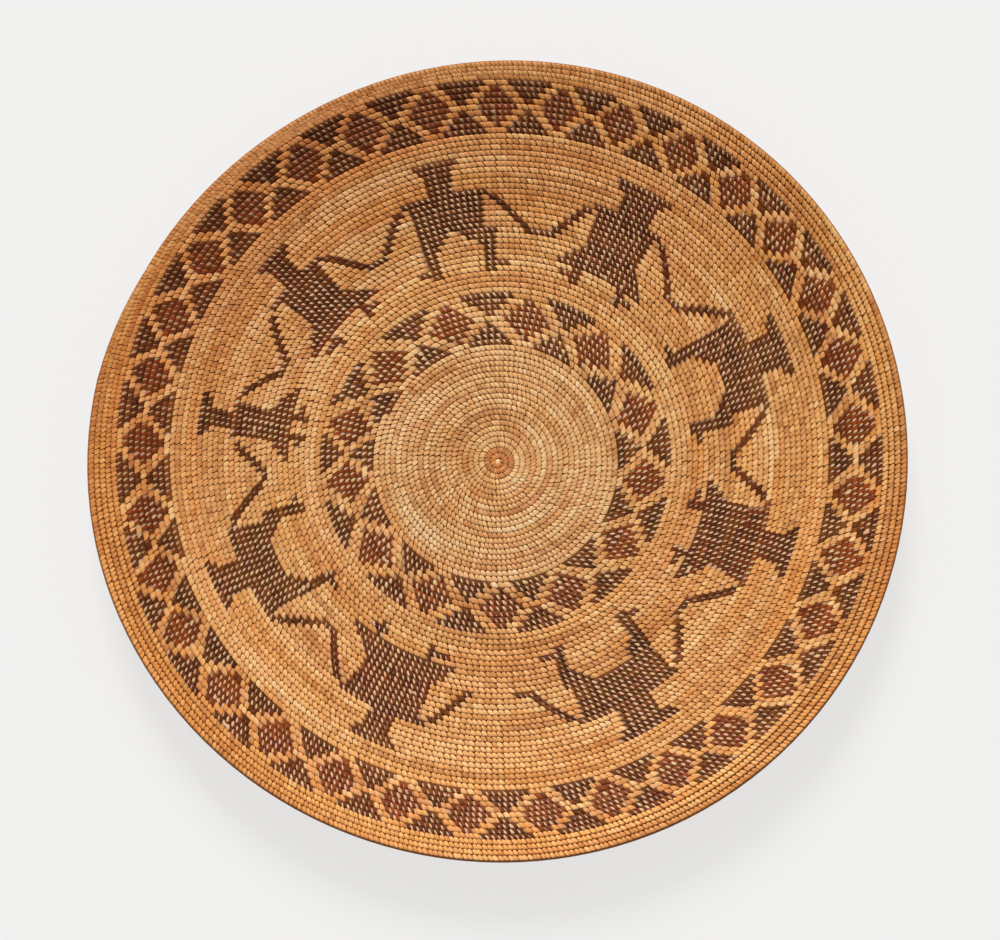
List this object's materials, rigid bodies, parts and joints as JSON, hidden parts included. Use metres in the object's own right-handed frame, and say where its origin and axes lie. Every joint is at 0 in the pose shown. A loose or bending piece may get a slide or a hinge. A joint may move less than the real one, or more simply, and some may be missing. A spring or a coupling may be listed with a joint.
{
  "type": "coiled basketry gambling tray",
  "caption": "Wide shallow round tray of sewn coil, with bands of red diamonds and dark triangles and a ring of dark figures hand in hand.",
  "frame": {"origin": "centre of the flat middle's underside, where the tray rests on its back", "axes": "+Z along the tray's axis, out of its hollow face; +Y towards the top of the pattern as pictured, +X to its right"},
  "size_m": [0.686, 0.686, 0.0436],
  "materials": {
    "tan_root": "split sedge root, scraped, satin",
    "red_bark": "split shoot with red bark, satin",
    "dark_root": "dyed fern root, satin",
    "grass_core": "bundled grass stems, matt",
    "knot": "split sedge root, darkened by handling, satin"
  },
  "bodies": {
    "root": {"start_knot": "knot", "foundation_middle": "grass_core", "foundation_inner_band": "grass_core", "foundation_field_1": "grass_core", "foundation_field_2": "grass_core", "foundation_outer_band": "grass_core", "middle_strands": "tan_root", "inner_band_tan_ground": "tan_root", "inner_band_red_diamonds": "red_bark", "inner_band_outer_triangles": "dark_root", "inner_band_inner_triangles": "dark_root", "figure_field_tan_ground": "tan_root", "figure_1_man": "dark_root", "figure_2_woman": "dark_root", "figure_3_man": "dark_root", "figure_4_woman": "dark_root", "figure_5_child": "dark_root", "figure_6_man": "dark_root", "figure_7_woman": "dark_root", "figure_8_man": "dark_root", "figure_9_woman": "dark_root", "outer_band_tan_ground": "tan_root", "outer_band_red_diamonds": "red_bark", "outer_band_outer_triangles": "dark_root", "outer_band_inner_triangles": "dark_root", "rim_strands": "tan_root", "back_base_strands": "tan_root", "back_wall_strands": "tan_root"}
  },
  "joints": []
}
